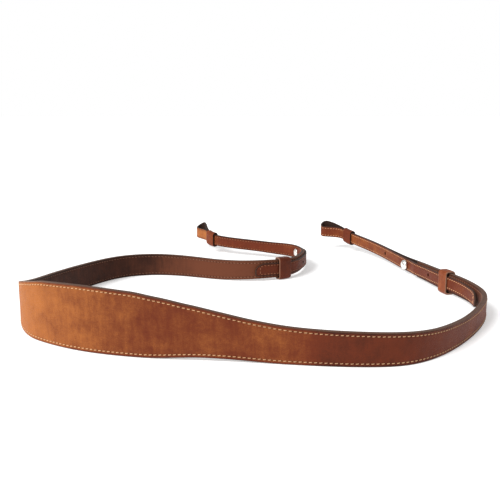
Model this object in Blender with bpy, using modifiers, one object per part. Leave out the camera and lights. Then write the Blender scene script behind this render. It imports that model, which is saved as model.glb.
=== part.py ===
"""Leather camera neck strap with a wide shoulder pad.

The strap stands on its lower edge in one large loop. Its two ends fold back through an eye,
button over a stud and tuck their tips under a keeper.
All sizes are in metres, with +Z up and the front of the loop at -Y.
"""

import bisect
import math

import bmesh
import bpy
from mathutils import Vector

NAME = "camera_neck_strap"

# Loop on the floor
LOOP_WIDTH = 0.352
LOOP_DEPTH = 0.388
PAD_PLACE = 0.492
STATION_STEP = 0.006

# Leather
PAD_WIDTH = 0.043
ARM_END_WIDTH = 0.016
END_WIDTH = 0.0112
FACE_THICK = 0.0019
LINING_THICK = 0.0014
END_THICK = 0.0015
EDGE_BEVEL = 0.00035
CLEAR = 0.0003

# Ends: distances along the strap, counted from each eye
LEFT_STUD = 0.143
RIGHT_STUD = 0.1535
LEFT_JOINT_PAST_STUD = 0.077
RIGHT_JOINT_PAST_STUD = 0.074
LEFT_TIP_MARGIN = 0.058
RIGHT_TIP_MARGIN = 0.085
LEFT_TIP_STANDOFF = 0.0012
RIGHT_TIP_STANDOFF = 0.0025
LEFT_EYE_HEIGHT = 0.0198
RIGHT_EYE_HEIGHT = 0.0220
LEFT_EYE_SKEW = -0.0028
RIGHT_EYE_SKEW = 0.0028
HOLE_PITCH = 0.046
LINING_SHORT_OF_STUD = 0.020
TAPER_LEAD = 0.050
EYE_BORE = 0.0070
EYE_LENGTH = 0.026
TIP_LENGTH = 0.0075

# Keepers
KEEPER_WALL = 0.0014
KEEPER_PLAY = 0.0006
KEEPER_LENGTH = 0.0115
KEEPER_CORNER = 0.0016
EYE_KEEPER = 0.036

# Studs
HEAD_RADIUS = 0.0036
HEAD_THICK = 0.0012
SOCKET_RADIUS = 0.0011
SOCKET_DEPTH = 0.0007
SHANK_RADIUS = 0.0007
NECK_RADIUS = 0.0013
KNOB_RADIUS = 0.0045
KNOB_HEIGHT = 0.0042

# Fineness of the round shapes
TURN_STEPS = 20
HOLE_STEPS = 16
FOLD_STEPS = 10
KEEPER_ROWS = 3
CORNER_POINTS = 5
HEADING_REACH = 0.002

# The strap's line seen from above, from the left eye round the front to the right eye
# (share of half the loop's width, share of half its depth)
ROUTE = (
    (-0.355, 0.980),
    (-0.315, 0.895),
    (-0.260, 0.805),
    (-0.175, 0.750),
    (-0.025, 0.690),
    (0.118, 0.627),
    (0.208, 0.578),
    (0.256, 0.495),
    (0.261, 0.395),
    (0.236, 0.300),
    (0.190, 0.215),
    (0.110, 0.158),
    (-0.025, 0.125),
    (-0.195, 0.155),
    (-0.375, 0.220),
    (-0.545, 0.245),
    (-0.695, 0.195),
    (-0.795, 0.085),
    (-0.865, -0.040),
    (-0.930, -0.200),
    (-0.970, -0.375),
    (-0.970, -0.505),
    (-0.935, -0.618),
    (-0.877, -0.703),
    (-0.800, -0.765),
    (-0.630, -0.855),
    (-0.375, -0.920),
    (-0.025, -0.960),
    (0.205, -0.990),
    (0.385, -1.000),
    (0.500, -0.985),
    (0.590, -0.940),
    (0.700, -0.845),
    (0.817, -0.705),
    (0.922, -0.540),
    (0.974, -0.392),
    (0.952, -0.235),
    (0.900, -0.070),
    (0.857, 0.115),
    (0.800, 0.305),
    (0.740, 0.520),
    (0.665, 0.705),
    (0.590, 0.820),
    (0.515, 0.895),
    (0.425, 0.945),
)

# From the middle of the pad to the joint with the end strap
# (share of that way, share of the width that the pad has over the arm's end: left arm, right arm)
PAD_TAPER = (
    (0.00, 1.000, 1.000),
    (0.08, 0.950, 0.950),
    (0.13, 0.820, 0.820),
    (0.17, 0.660, 0.660),
    (0.22, 0.490, 0.490),
    (0.28, 0.350, 0.345),
    (0.36, 0.255, 0.240),
    (0.49, 0.185, 0.172),
    (0.58, 0.160, 0.075),
    (0.70, 0.135, 0.004),
    (0.82, 0.090, 0.000),
    (0.91, 0.040, 0.000),
    (1.00, 0.000, 0.000),
)

# How far the lower edge lifts off the floor over the same way
# (share of that way, share of what the keeper lifts it by)
PAD_LIFT = (
    (0.00, 0.00),
    (0.10, 0.00),
    (0.20, 0.90),
    (0.33, 0.00),
    (0.82, 0.00),
    (0.97, 1.00),
    (1.00, 1.00),
)

# How the middle of an end strap drops from its eye to the joint
# (share of that way, share of the drop: left end, right end)
END_DROP = (
    (0.00, 0.00, 0.00),
    (0.10, 0.22, 0.18),
    (0.16, 0.53, 0.50),
    (0.30, 0.73, 0.78),
    (0.48, 0.86, 0.95),
    (0.72, 0.96, 1.09),
    (1.00, 1.00, 1.00),
)

# How an end strap widens towards the joint, from a little before its stud
# (share of that way, share of the width that it gains)
END_TAPER = (
    (0.00, 0.00),
    (0.18, 0.22),
    (0.40, 0.47),
    (0.58, 0.66),
    (0.80, 0.80),
    (1.00, 1.00),
)

# The cut tip of an end strap, with its upper corner cut away
# (share of the tip's length from the very end, share of half the width: below, above)
TIP_CUT = (
    (0.00, 0.80, 0.10),
    (0.12, 0.95, 0.30),
    (0.45, 1.00, 0.72),
    (1.00, 1.00, 1.00),
)

# The knob from its flat side to its round end
# (share of its radius, share of its height)
KNOB_SHAPE = (
    (0.62, 0.00),
    (0.96, 0.24),
    (1.00, 0.44),
    (0.88, 0.72),
    (0.55, 0.94),
    (0.00, 1.00),
)
BORE_IN_KNOB = 0.45
HEAD_EDGE = 0.3

GRAIN = (0.30, 0.115, 0.05)
LINING = (0.11, 0.05, 0.03)
KEEPER = (0.40, 0.16, 0.07)
METAL = (0.75, 0.74, 0.72)


def clear_objects():
    for thing in list(bpy.data.objects):
        bpy.data.objects.remove(thing, do_unlink=True)


def collection(name):
    made = bpy.data.collections.new(name)
    bpy.context.scene.collection.children.link(made)
    return made


def material(name, colour, roughness, metallic=0.0):
    made = bpy.data.materials.new(name)
    made.use_nodes = True
    shader = made.node_tree.nodes["Principled BSDF"]
    shader.inputs["Base Color"].default_value = (*colour, 1.0)
    shader.inputs["Roughness"].default_value = roughness
    shader.inputs["Metallic"].default_value = metallic
    return made


def smooth(share):
    """A soft step from 0 to 1."""
    share = min(1.0, max(0.0, share))
    return share * share * (3.0 - 2.0 * share)


def slopes(rows):
    """Slopes that keep a curve through the (place, value) rows from overshooting."""
    steps = [(b[1] - a[1]) / (b[0] - a[0]) for a, b in zip(rows, rows[1:])]
    inner = [0.0 if a * b <= 0.0 else 2.0 * a * b / (a + b) for a, b in zip(steps, steps[1:])]
    return [0.0] + inner + [steps[-1] if rows[-1][1] != rows[-2][1] else 0.0]


def read_table(table, share, column=1):
    """The value in a column at a share in the first column, along a smooth curve."""
    rows = [(row[0], row[column]) for row in table]
    share = min(rows[-1][0], max(rows[0][0], share))
    k = min(len(rows) - 2, max(0, bisect.bisect_right([row[0] for row in rows], share) - 1))
    (x0, y0), (x1, y1) = rows[k], rows[k + 1]
    m = slopes(rows)
    wide = x1 - x0
    t = (share - x0) / wide
    start = (1.0 + 2.0 * t) * (1.0 - t) ** 2 * y0 + t * (1.0 - t) ** 2 * wide * m[k]
    finish = t * t * (3.0 - 2.0 * t) * y1 + t * t * (t - 1.0) * wide * m[k + 1]
    return start + finish


class Route:
    """The strap's line on the floor, read by the distance along it."""

    def __init__(self, shares, width, depth):
        knots = [(x * width / 2.0, y * depth / 2.0) for x, y in shares]
        times = [0.0]
        for a, b in zip(knots, knots[1:]):
            times.append(times[-1] + math.dist(a, b))
        self.points = list(zip(*(self.spline(times, values) for values in zip(*knots))))
        self.along = [0.0]
        for a, b in zip(self.points, self.points[1:]):
            self.along.append(self.along[-1] + math.dist(a, b))
        self.length = self.along[-1]

    @staticmethod
    def spline(times, values, fine=12):
        """A natural cubic spline through the values, read finely."""
        count = len(times)
        gaps = [b - a for a, b in zip(times, times[1:])]
        diagonal = [1.0] * count
        right = [0.0] * count
        above = [0.0] * count
        for i in range(1, count - 1):
            jump = (values[i + 1] - values[i]) / gaps[i] - (values[i] - values[i - 1]) / gaps[i - 1]
            diagonal[i] = 2.0 * (gaps[i - 1] + gaps[i]) - gaps[i - 1] * above[i - 1]
            above[i] = gaps[i] / diagonal[i]
            right[i] = (6.0 * jump - gaps[i - 1] * right[i - 1]) / diagonal[i]
        bends = [0.0] * count
        for i in range(count - 2, 0, -1):
            bends[i] = right[i] - above[i] * bends[i + 1]
        read = []
        for i, gap in enumerate(gaps):
            for k in range(fine):
                b = k / fine
                a = 1.0 - b
                bend = (a**3 - a) * bends[i] + (b**3 - b) * bends[i + 1]
                read.append(a * values[i] + b * values[i + 1] + bend * gap * gap / 6.0)
        read.append(values[-1])
        return read

    def on_line(self, along):
        along = min(self.length, max(0.0, along))
        k = min(len(self.along) - 2, bisect.bisect_right(self.along, along) - 1)
        share = (along - self.along[k]) / (self.along[k + 1] - self.along[k])
        p, q = self.points[k], self.points[k + 1]
        return p[0] + (q[0] - p[0]) * share, p[1] + (q[1] - p[1]) * share

    def place(self, along, offset=0.0):
        """A point on the line, moved to the outside of the loop by the offset."""
        x, y = self.on_line(along)
        out = self.outward(along)
        return x + out[0] * offset, y + out[1] * offset

    def heading(self, along):
        """The way the line runs at a distance along it."""
        start = min(self.length - 2.0 * HEADING_REACH, max(0.0, along - HEADING_REACH))
        p = self.on_line(start)
        q = self.on_line(start + 2.0 * HEADING_REACH)
        size = math.dist(p, q)
        return (q[0] - p[0]) / size, (q[1] - p[1]) / size

    def outward(self, along):
        """The loop runs counter-clockwise, so its outside is on the right."""
        x, y = self.heading(along)
        return y, -x


ROUTE_LINE = Route(ROUTE, LOOP_WIDTH, LOOP_DEPTH)
PAD_MIDDLE = PAD_PLACE * ROUTE_LINE.length
KEEPER_LIFT = KEEPER_WALL + KEEPER_PLAY
FACE_OFFSET = CLEAR / 2.0 + FACE_THICK / 2.0
LINING_OFFSET = -(CLEAR / 2.0 + LINING_THICK / 2.0)
END_OUT = CLEAR / 2.0 + END_THICK / 2.0
END_IN = -END_OUT
END_ON_LINING = LINING_OFFSET - LINING_THICK / 2.0 - CLEAR - END_THICK / 2.0
EYE_RADIUS = EYE_BORE / 2.0 + END_THICK / 2.0


class End:
    """One end of the strap, read by the distance from its eye."""

    def __init__(self, name, stud, joint_past_stud, tip_margin, tip_standoff, eye_height, eye_skew):
        self.name = name
        self.from_start = name == "left"
        self.column = 1 if self.from_start else 2
        self.stud = stud
        self.eye_height = eye_height
        self.eye_skew = eye_skew
        self.joint = stud + joint_past_stud
        self.lining_end = stud + LINING_SHORT_OF_STUD
        self.tip = stud + HOLE_PITCH + tip_margin
        self.tip_standoff = tip_standoff
        self.holes = [stud - HOLE_PITCH, stud, stud + HOLE_PITCH]
        self.keepers = [EYE_KEEPER, self.joint]
        self.arm = abs(PAD_MIDDLE - self.along(self.joint))

    def along(self, away):
        """Distance along the route for a distance from the eye."""
        return away if self.from_start else ROUTE_LINE.length - away

    def middle(self, away):
        """Height of the middle of the end strap."""
        low = KEEPER_LIFT + ARM_END_WIDTH / 2.0
        drop = read_table(END_DROP, away / self.joint, self.column)
        return self.eye_height + (low - self.eye_height) * drop

    def skew(self, away):
        return self.eye_skew * (1.0 - smooth(away / EYE_KEEPER))

    def outer_width(self, away):
        share = (away - self.stud + TAPER_LEAD) / (self.joint - self.stud + TAPER_LEAD)
        return END_WIDTH + (ARM_END_WIDTH - END_WIDTH) * read_table(END_TAPER, share)

    def spread(self, away):
        """How far a layer stands off the line near the eye."""
        share = smooth((away - EYE_RADIUS) / (EYE_LENGTH - EYE_RADIUS))
        return EYE_RADIUS + (END_OUT - EYE_RADIUS) * share

    def inner_offset(self, away):
        """Offset of the folded-back layer: along the outer one, then along the lining."""
        if away < EYE_LENGTH:
            return -self.spread(away)
        up = smooth((away - self.stud - HEAD_RADIUS) / (LINING_SHORT_OF_STUD - HEAD_RADIUS))
        off = smooth((away - self.joint - KEEPER_LENGTH) / (self.tip - self.joint))
        return END_IN + (END_ON_LINING - END_IN) * up - self.tip_standoff * off


ENDS = (
    End("left", LEFT_STUD, LEFT_JOINT_PAST_STUD, LEFT_TIP_MARGIN, LEFT_TIP_STANDOFF, LEFT_EYE_HEIGHT,
        LEFT_EYE_SKEW),
    End("right", RIGHT_STUD, RIGHT_JOINT_PAST_STUD, RIGHT_TIP_MARGIN, RIGHT_TIP_STANDOFF, RIGHT_EYE_HEIGHT,
        RIGHT_EYE_SKEW),
)


def band_width(along):
    """Width of the pad and the arms."""
    end = ENDS[0] if along < PAD_MIDDLE else ENDS[1]
    share = abs(along - PAD_MIDDLE) / end.arm
    if share >= 1.0:
        return end.outer_width(end.joint - (share - 1.0) * end.arm)
    return ARM_END_WIDTH + (PAD_WIDTH - ARM_END_WIDTH) * read_table(PAD_TAPER, share, end.column)


def band_middle(along):
    """Height of the middle of the pad and the arms."""
    end = ENDS[0] if along < PAD_MIDDLE else ENDS[1]
    share = abs(along - PAD_MIDDLE) / end.arm
    if share >= 1.0:
        return end.middle(end.joint - (share - 1.0) * end.arm)
    return band_width(along) / 2.0 + KEEPER_LIFT * read_table(PAD_LIFT, share)


def stations(start, finish):
    """Distances along the route on one common rule, so that layers bend together."""
    first = math.floor(start / STATION_STEP + 0.35) + 1
    last = math.ceil(finish / STATION_STEP - 0.35) - 1
    return [start] + [k * STATION_STEP for k in range(first, last + 1)] + [finish]


def move_to(made, home):
    for group in list(made.users_collection):
        group.objects.unlink(made)
    home.objects.link(made)


def as_tool(made, tools):
    """Puts a cutter away, out of the render."""
    move_to(made, tools)
    made.hide_render = True
    made.display_type = "WIRE"


def sheet_object(name, rows, columns, put, home, look):
    """A grid primitive whose corners are put in place by row and column."""
    bpy.ops.mesh.primitive_grid_add(x_subdivisions=rows, y_subdivisions=columns, size=1.0)
    made = bpy.context.active_object
    made.name = name
    made.data.name = name
    for corner in made.data.vertices:
        row = round((corner.co.x + 0.5) * rows)
        column = round((corner.co.y + 0.5) * columns)
        corner.co = put(row, column)
    move_to(made, home)
    made.data.materials.append(look)
    return made


def thicken(made, thick, offset=0.0):
    shell = made.modifiers.new("thickness", "SOLIDIFY")
    shell.thickness = thick
    shell.offset = offset
    shell.use_even_offset = True


def soften(made, width):
    edge = made.modifiers.new("edge", "BEVEL")
    edge.width = width
    edge.segments = 1
    edge.limit_method = "ANGLE"
    edge.angle_limit = math.radians(60.0)


def ribbon(name, line, thick, home, look):
    """A strip of leather on edge. line holds (x, y, height of the middle, width) at each row."""

    def put(row, column):
        x, y, middle, width = line[row]
        return x, y, middle + (column - 0.5) * width

    made = sheet_object(name, len(line) - 1, 1, put, home, look)
    thicken(made, thick)
    soften(made, EDGE_BEVEL)
    return made


def band_line(start, finish, offset):
    line = []
    for along in stations(start, finish):
        x, y = ROUTE_LINE.place(along, offset)
        line.append((x, y, band_middle(along), band_width(along)))
    return line


def end_line(end):
    """From the joint to the eye, round the fold and back to the tip."""
    line = []
    for away in reversed(stations(EYE_RADIUS, end.joint - CLEAR / 2.0)):
        offset = end.spread(away) if away < EYE_LENGTH else END_OUT
        x, y = ROUTE_LINE.place(end.along(away), offset)
        line.append((x, y, end.middle(away) + end.skew(away), end.outer_width(away)))
    ahead = ROUTE_LINE.heading(end.along(EYE_RADIUS))
    back = -1.0 if end.from_start else 1.0
    for k in range(1, FOLD_STEPS):
        angle = math.pi * k / FOLD_STEPS
        x, y = ROUTE_LINE.place(end.along(EYE_RADIUS), EYE_RADIUS * math.cos(angle))
        x += ahead[0] * back * EYE_RADIUS * math.sin(angle)
        y += ahead[1] * back * EYE_RADIUS * math.sin(angle)
        skew = end.skew(EYE_RADIUS) * math.cos(angle)
        line.append((x, y, end.middle(EYE_RADIUS) + skew, END_WIDTH))
    for away in stations(EYE_RADIUS, end.tip - TIP_LENGTH):
        x, y = ROUTE_LINE.place(end.along(away), end.inner_offset(away))
        line.append((x, y, end_middle_inner(end, away), END_WIDTH))
    for share, below, above in reversed(TIP_CUT[:-1]):
        away = end.tip - TIP_LENGTH * share
        x, y = ROUTE_LINE.place(end.along(away), end.inner_offset(away))
        middle = end_middle_inner(end, away) + (above - below) * END_WIDTH / 4.0
        line.append((x, y, middle, (above + below) * END_WIDTH / 2.0))
    return line


def end_middle_inner(end, away):
    """Height of the folded-back layer, which follows the band past the joint."""
    if away <= end.joint:
        return end.middle(away) - end.skew(away)
    return band_middle(end.along(away))


def cutter(name, along, start, outward, height, radius, tools):
    """A rod through one layer, for a punched hole. It starts in the gap beside the layer."""
    deep = END_THICK + 2.0 * CLEAR + HEAD_THICK
    x, y = ROUTE_LINE.place(along, start + outward * deep / 2.0)
    bpy.ops.mesh.primitive_cylinder_add(vertices=HOLE_STEPS, radius=radius, depth=deep)
    made = bpy.context.active_object
    made.name = name
    face_outward(made, along)
    made.location = (x, y, height)
    as_tool(made, tools)
    return made


def face_outward(made, along):
    """Turns an object so that its own +Z points out of the loop."""
    x, y = ROUTE_LINE.outward(along)
    made.rotation_euler = (0.0, math.pi / 2.0, math.atan2(y, x))


def cut(made, tool):
    hole = made.modifiers.new(tool.name, "BOOLEAN")
    hole.operation = "DIFFERENCE"
    hole.object = tool
    hole.solver = "EXACT"


def ring_point(side, turn, half_out, half_up):
    """A point of a rounded rectangle: which corner, and the share of that corner's turn."""
    angle = (side + turn) * math.pi / 2.0
    sign_out = (1.0, -1.0, -1.0, 1.0)[side]
    sign_up = (1.0, 1.0, -1.0, -1.0)[side]
    return (
        sign_out * (half_out - KEEPER_CORNER) + KEEPER_CORNER * math.cos(angle),
        sign_up * (half_up - KEEPER_CORNER) + KEEPER_CORNER * math.sin(angle),
    )


def keeper(name, end, away, home, look):
    """A leather loop around the layers, bent with them."""
    on_joint = away > end.stud
    outer = FACE_OFFSET + FACE_THICK / 2.0
    inner = END_ON_LINING - END_THICK / 2.0 if on_joint else END_IN - END_THICK / 2.0
    half_out = (outer - inner) / 2.0 + KEEPER_PLAY
    centre = (outer + inner) / 2.0
    around = 4 * CORNER_POINTS

    def put(row, column):
        place = away + (row / KEEPER_ROWS - 0.5) * KEEPER_LENGTH
        half_up = (band_width(end.along(place)) if on_joint else END_WIDTH) / 2.0 + KEEPER_PLAY
        side, step = divmod(column % around, CORNER_POINTS)
        out, up = ring_point(side, step / (CORNER_POINTS - 1), half_out, half_up)
        x, y = ROUTE_LINE.place(end.along(place), centre + out)
        height = band_middle(end.along(place)) if on_joint else end.middle(place)
        return x, y, height + up

    made = sheet_object(name, KEEPER_ROWS, around, put, home, look)
    mesh = bmesh.new()
    mesh.from_mesh(made.data)
    bmesh.ops.remove_doubles(mesh, verts=mesh.verts, dist=1e-6)
    bmesh.ops.recalc_face_normals(mesh, faces=mesh.faces)
    mesh.to_mesh(made.data)
    mesh.free()
    thicken(made, KEEPER_WALL, outward_side(made))
    soften(made, EDGE_BEVEL)
    made.data.shade_smooth()
    made.data.set_sharp_from_angle(angle=math.radians(40.0))
    return made


def outward_side(made):
    """Which way the thickness grows, so that the loop's inside stays clear."""
    centre = sum((corner.co for corner in made.data.vertices), Vector()) / len(made.data.vertices)
    face = made.data.polygons[0]
    return 1.0 if face.normal.dot(face.center - centre) > 0.0 else -1.0


def turned(name, profile, home, look):
    """A turned solid from (radius, height) points, listed from the top down."""
    mesh = bpy.data.meshes.new(name)
    mesh.from_pydata([(r, 0.0, z) for r, z in profile], [(k, k + 1) for k in range(len(profile) - 1)], [])
    made = bpy.data.objects.new(name, mesh)
    home.objects.link(made)
    turn = made.modifiers.new("turn", "SCREW")
    turn.angle = math.tau
    turn.steps = TURN_STEPS
    turn.render_steps = TURN_STEPS
    turn.use_merge_vertices = True
    turn.merge_threshold = 0.00001
    turn.use_smooth_shade = True
    mesh.materials.append(look)
    return made


def stud(end, home, look):
    """A flat screw with a round socket on the grain side, and a knob on the folded-back layer."""
    along = end.along(end.stud)
    x, y = ROUTE_LINE.place(along)
    height = end.middle(end.stud)
    skin = END_OUT + END_THICK / 2.0
    seat = skin + CLEAR
    top = seat + HEAD_THICK
    knob_root = -CLEAR / 2.0
    bore_end = -seat - KNOB_HEIGHT * BORE_IN_KNOB
    edge = HEAD_THICK * HEAD_EDGE
    knob_side = tuple((KNOB_RADIUS * out, -seat - KNOB_HEIGHT * down) for out, down in KNOB_SHAPE)
    screw = turned(
        f"stud_screw_{end.name}",
        (
            (0.0, top - SOCKET_DEPTH),
            (SOCKET_RADIUS, top - SOCKET_DEPTH),
            (SOCKET_RADIUS, top),
            (HEAD_RADIUS - edge, top),
            (HEAD_RADIUS, top - edge),
            (HEAD_RADIUS, seat),
            (SHANK_RADIUS, seat),
            (SHANK_RADIUS, bore_end + CLEAR),
            (0.0, bore_end + CLEAR),
        ),
        home,
        look,
    )
    bore = SHANK_RADIUS + CLEAR
    knob = turned(
        f"stud_knob_{end.name}",
        (
            (0.0, bore_end),
            (bore, bore_end),
            (bore, knob_root),
            (NECK_RADIUS, knob_root),
            (NECK_RADIUS, -seat),
        ) + knob_side,
        home,
        look,
    )
    for piece in (screw, knob):
        piece.location = (x, y, height)
        face_outward(piece, along)


def end_strap(end, home, tools, look):
    strap = ribbon(f"end_strap_{end.name}", end_line(end), END_THICK, home, look)
    middle = end.middle(end.stud)
    name = f"screw_hole_{end.name}"
    cut(strap, cutter(name, end.along(end.stud), 0.0, 1.0, middle, SHANK_RADIUS + CLEAR, tools))
    for k, away in enumerate(end.holes):
        start = end.inner_offset(away) + END_THICK / 2.0 + CLEAR / 2.0
        middle = end_middle_inner(end, away)
        name = f"punched_hole_{end.name}_{k}"
        cut(strap, cutter(name, end.along(away), start, -1.0, middle, NECK_RADIUS + CLEAR, tools))
    return strap


def centre_on_origin(strips):
    """Moves everything so that the origin is the middle of the base."""
    graph = bpy.context.evaluated_depsgraph_get()
    corners = []
    for strip in strips:
        corners += [strip.matrix_world @ Vector(corner) for corner in strip.evaluated_get(graph).bound_box]
    middle_x = (min(c.x for c in corners) + max(c.x for c in corners)) / 2.0
    middle_y = (min(c.y for c in corners) + max(c.y for c in corners)) / 2.0
    for thing in bpy.data.objects:
        thing.location.x -= middle_x
        thing.location.y -= middle_y


def main():
    clear_objects()
    home = collection(NAME)
    tools = collection("cutters")
    grain = material("grain_leather", GRAIN, 0.5)
    lining = material("lining_leather", LINING, 0.7)
    loop = material("keeper_leather", KEEPER, 0.5)
    metal = material("stud_metal", METAL, 0.25, 1.0)
    left, right = ENDS
    face = ribbon(
        "band_face",
        band_line(left.along(left.joint) + CLEAR / 2.0, right.along(right.joint) - CLEAR / 2.0, FACE_OFFSET),
        FACE_THICK, home, grain,
    )
    ribbon(
        "band_lining",
        band_line(left.along(left.lining_end), right.along(right.lining_end), LINING_OFFSET),
        LINING_THICK, home, lining,
    )
    strips = [face]
    for end in ENDS:
        strips.append(end_strap(end, home, tools, grain))
        for place, away in zip(("eye", "tip"), end.keepers):
            keeper(f"keeper_{place}_{end.name}", end, away, home, loop)
        stud(end, home, metal)
    centre_on_origin(strips)


main()
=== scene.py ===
"""The looks of a leather camera neck strap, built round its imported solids.

The strap is laid out as strips of leather with rounded painted edges, sunk stitch lines and
separate threads. All lengths are in metres.
"""

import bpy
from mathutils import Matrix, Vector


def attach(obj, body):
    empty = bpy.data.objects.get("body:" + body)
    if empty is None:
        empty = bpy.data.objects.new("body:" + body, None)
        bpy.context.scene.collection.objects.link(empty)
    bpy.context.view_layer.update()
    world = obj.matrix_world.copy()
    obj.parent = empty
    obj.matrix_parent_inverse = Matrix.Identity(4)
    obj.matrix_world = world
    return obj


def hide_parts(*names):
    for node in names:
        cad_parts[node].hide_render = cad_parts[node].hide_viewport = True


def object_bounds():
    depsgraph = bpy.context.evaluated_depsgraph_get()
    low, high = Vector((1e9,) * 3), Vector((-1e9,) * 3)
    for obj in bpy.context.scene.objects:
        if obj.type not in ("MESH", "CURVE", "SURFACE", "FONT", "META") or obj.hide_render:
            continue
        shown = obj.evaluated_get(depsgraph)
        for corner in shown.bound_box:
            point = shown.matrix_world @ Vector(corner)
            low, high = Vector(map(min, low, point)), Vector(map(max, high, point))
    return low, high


bl_info = {
    "name": "Leather Neck Strap",
    "version": (1, 0, 0),
    "blender": (4, 5, 0),
    "location": "3D View > Sidebar > Neck Strap",
    "description": "Builds the leather, threads, keepers and studs of a neck strap",
    "category": "Object",
}

import math

import bpy
import numpy as np
from bpy.props import FloatProperty, FloatVectorProperty, PointerProperty
from bpy.types import Operator, Panel, PropertyGroup
from mathutils import Vector

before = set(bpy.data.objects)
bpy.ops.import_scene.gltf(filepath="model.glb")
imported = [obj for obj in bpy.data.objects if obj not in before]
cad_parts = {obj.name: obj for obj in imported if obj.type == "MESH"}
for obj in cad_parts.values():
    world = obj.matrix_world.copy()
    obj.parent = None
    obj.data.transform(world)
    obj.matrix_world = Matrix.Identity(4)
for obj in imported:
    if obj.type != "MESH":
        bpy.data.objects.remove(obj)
CAD_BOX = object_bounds()
MM = 0.001

# The strap's line and sizes, as in the solids
LOOP_WIDTH = 0.352
LOOP_DEPTH = 0.388
PAD_PLACE = 0.492
PAD_WIDTH = 0.043
ARM_END_WIDTH = 0.016
END_WIDTH = 0.0112
FACE_THICK = 0.0019
LINING_THICK = 0.0014
END_THICK = 0.0015
CLEAR = 0.0003
LEFT_STUD = 0.143
RIGHT_STUD = 0.1535
LEFT_JOINT_PAST_STUD = 0.077
RIGHT_JOINT_PAST_STUD = 0.074
LEFT_TIP_MARGIN = 0.058
RIGHT_TIP_MARGIN = 0.085
LEFT_TIP_STANDOFF = 0.0012
RIGHT_TIP_STANDOFF = 0.0025
LEFT_EYE_HEIGHT = 0.0198
RIGHT_EYE_HEIGHT = 0.0220
LEFT_EYE_SKEW = -0.0028
RIGHT_EYE_SKEW = 0.0028
HOLE_PITCH = 0.046
LINING_SHORT_OF_STUD = 0.020
TAPER_LEAD = 0.050
EYE_BORE = 0.0070
EYE_LENGTH = 0.026
TIP_LENGTH = 0.0075
KEEPER_WALL = 0.0014
KEEPER_PLAY = 0.0006
KEEPER_LENGTH = 0.0115
KEEPER_CORNER = 0.0016
EYE_KEEPER = 0.036
HEAD_RADIUS = 0.0036
HEAD_THICK = 0.0012
SOCKET_RADIUS = 0.0011
SOCKET_DEPTH = 0.0007
SHANK_RADIUS = 0.0007
NECK_RADIUS = 0.0013
KNOB_RADIUS = 0.0045
KNOB_HEIGHT = 0.0042
HEADING_REACH = 0.002

# From the left eye round the front to the right eye
# (share of half the loop's width, share of half its depth)
ROUTE = (
    (-0.355, 0.980),
    (-0.315, 0.895),
    (-0.260, 0.805),
    (-0.175, 0.750),
    (-0.025, 0.690),
    (0.118, 0.627),
    (0.208, 0.578),
    (0.256, 0.495),
    (0.261, 0.395),
    (0.236, 0.300),
    (0.190, 0.215),
    (0.110, 0.158),
    (-0.025, 0.125),
    (-0.195, 0.155),
    (-0.375, 0.220),
    (-0.545, 0.245),
    (-0.695, 0.195),
    (-0.795, 0.085),
    (-0.865, -0.040),
    (-0.930, -0.200),
    (-0.970, -0.375),
    (-0.970, -0.505),
    (-0.935, -0.618),
    (-0.877, -0.703),
    (-0.800, -0.765),
    (-0.630, -0.855),
    (-0.375, -0.920),
    (-0.025, -0.960),
    (0.205, -0.990),
    (0.385, -1.000),
    (0.500, -0.985),
    (0.590, -0.940),
    (0.700, -0.845),
    (0.817, -0.705),
    (0.922, -0.540),
    (0.974, -0.392),
    (0.952, -0.235),
    (0.900, -0.070),
    (0.857, 0.115),
    (0.800, 0.305),
    (0.740, 0.520),
    (0.665, 0.705),
    (0.590, 0.820),
    (0.515, 0.895),
    (0.425, 0.945),
)

# (share of the way to the joint, share of the width over the arm's end: left arm, right arm)
PAD_TAPER = (
    (0.00, 1.000, 1.000),
    (0.08, 0.950, 0.950),
    (0.13, 0.820, 0.820),
    (0.17, 0.660, 0.660),
    (0.22, 0.490, 0.490),
    (0.28, 0.350, 0.345),
    (0.36, 0.255, 0.240),
    (0.49, 0.185, 0.172),
    (0.58, 0.160, 0.075),
    (0.70, 0.135, 0.004),
    (0.82, 0.090, 0.000),
    (0.91, 0.040, 0.000),
    (1.00, 0.000, 0.000),
)
# How far the lower edge is off the floor: (share of the way to the joint, share of a keeper's height)
PAD_LIFT = (
    (0.00, 0.00),
    (0.10, 0.00),
    (0.20, 0.90),
    (0.33, 0.00),
    (0.82, 0.00),
    (0.97, 1.00),
    (1.00, 1.00),
)
# (share of the way from the eye to the joint, share of the drop: left end, right end)
END_DROP = (
    (0.00, 0.00, 0.00),
    (0.10, 0.22, 0.18),
    (0.16, 0.53, 0.50),
    (0.30, 0.73, 0.78),
    (0.48, 0.86, 0.95),
    (0.72, 0.96, 1.09),
    (1.00, 1.00, 1.00),
)
END_TAPER = ((0.00, 0.00), (0.18, 0.22), (0.40, 0.47), (0.58, 0.66), (0.80, 0.80), (1.00, 1.00))
# The cut tip: (share of its length from the very end, share of half the width: below, above)
TIP_CUT = ((0.00, 0.80, 0.10), (0.12, 0.95, 0.30), (0.45, 1.00, 0.72), (1.00, 1.00, 1.00))

# The knob from its flat side to its round end: (share of its radius, share of its height)
KNOB_SHAPE = (
    (0.00, 0.00),
    (0.62, 0.00),
    (0.86, 0.06),
    (0.96, 0.20),
    (1.00, 0.40),
    (0.98, 0.54),
    (0.90, 0.70),
    (0.76, 0.84),
    (0.56, 0.94),
    (0.30, 0.99),
    (0.00, 1.00),
)

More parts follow.
